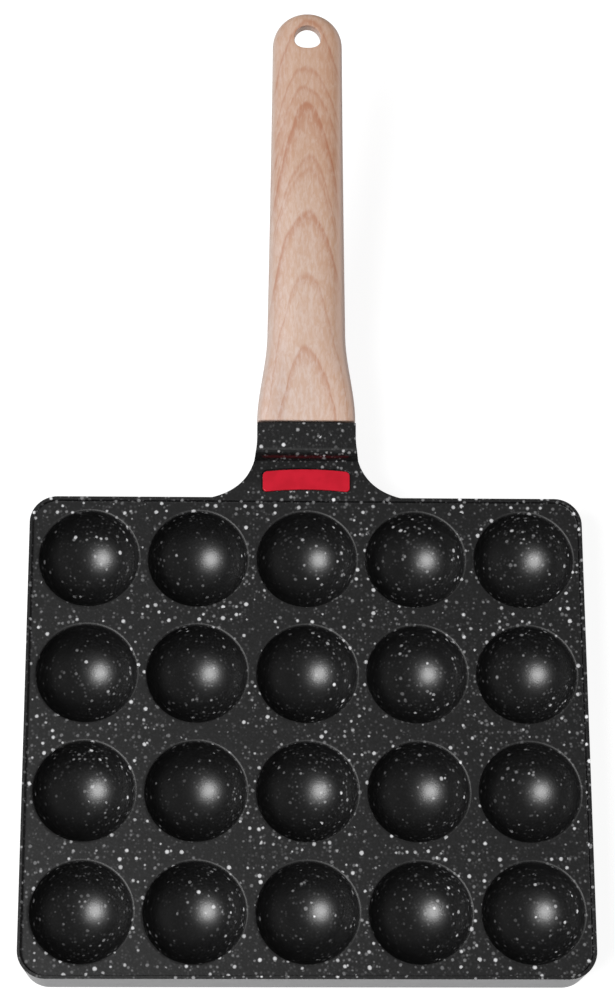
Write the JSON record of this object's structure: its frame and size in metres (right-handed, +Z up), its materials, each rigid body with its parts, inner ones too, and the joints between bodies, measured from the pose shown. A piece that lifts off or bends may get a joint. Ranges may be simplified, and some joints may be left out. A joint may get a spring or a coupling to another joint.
{
  "type": "takoyaki pan",
  "caption": "Rectangular takoyaki pan with rows of round cups, a raised rim, a short neck and a long wood-look grip with a hang hole.",
  "frame": {"origin": "under the middle of the whole pan's outer box, on the surface that it stands on", "axes": "+Y from the plate along the handle, +Z up out of the cups, +X to the right with the handle at the back"},
  "size_m": [0.222, 0.3918, 0.0665],
  "materials": {
    "speckled_coating": "black non-stick coat with white and grey specks on die-cast aluminium",
    "badge_red": "plain satin red",
    "wood_look_grip": "phenolic moulding with a printed pale wood grain",
    "screw_steel": "stainless steel",
    "washer_zinc": "zinc-plated steel",
    "spring_steel": "spring steel"
  },
  "bodies": {
    "root": {"griddle_casting": "speckled_coating", "badge": "badge_red", "handle_grip": "wood_look_grip", "handle_screw": "screw_steel", "plain_washer": "washer_zinc", "lock_washer": "spring_steel"}
  },
  "joints": []
}
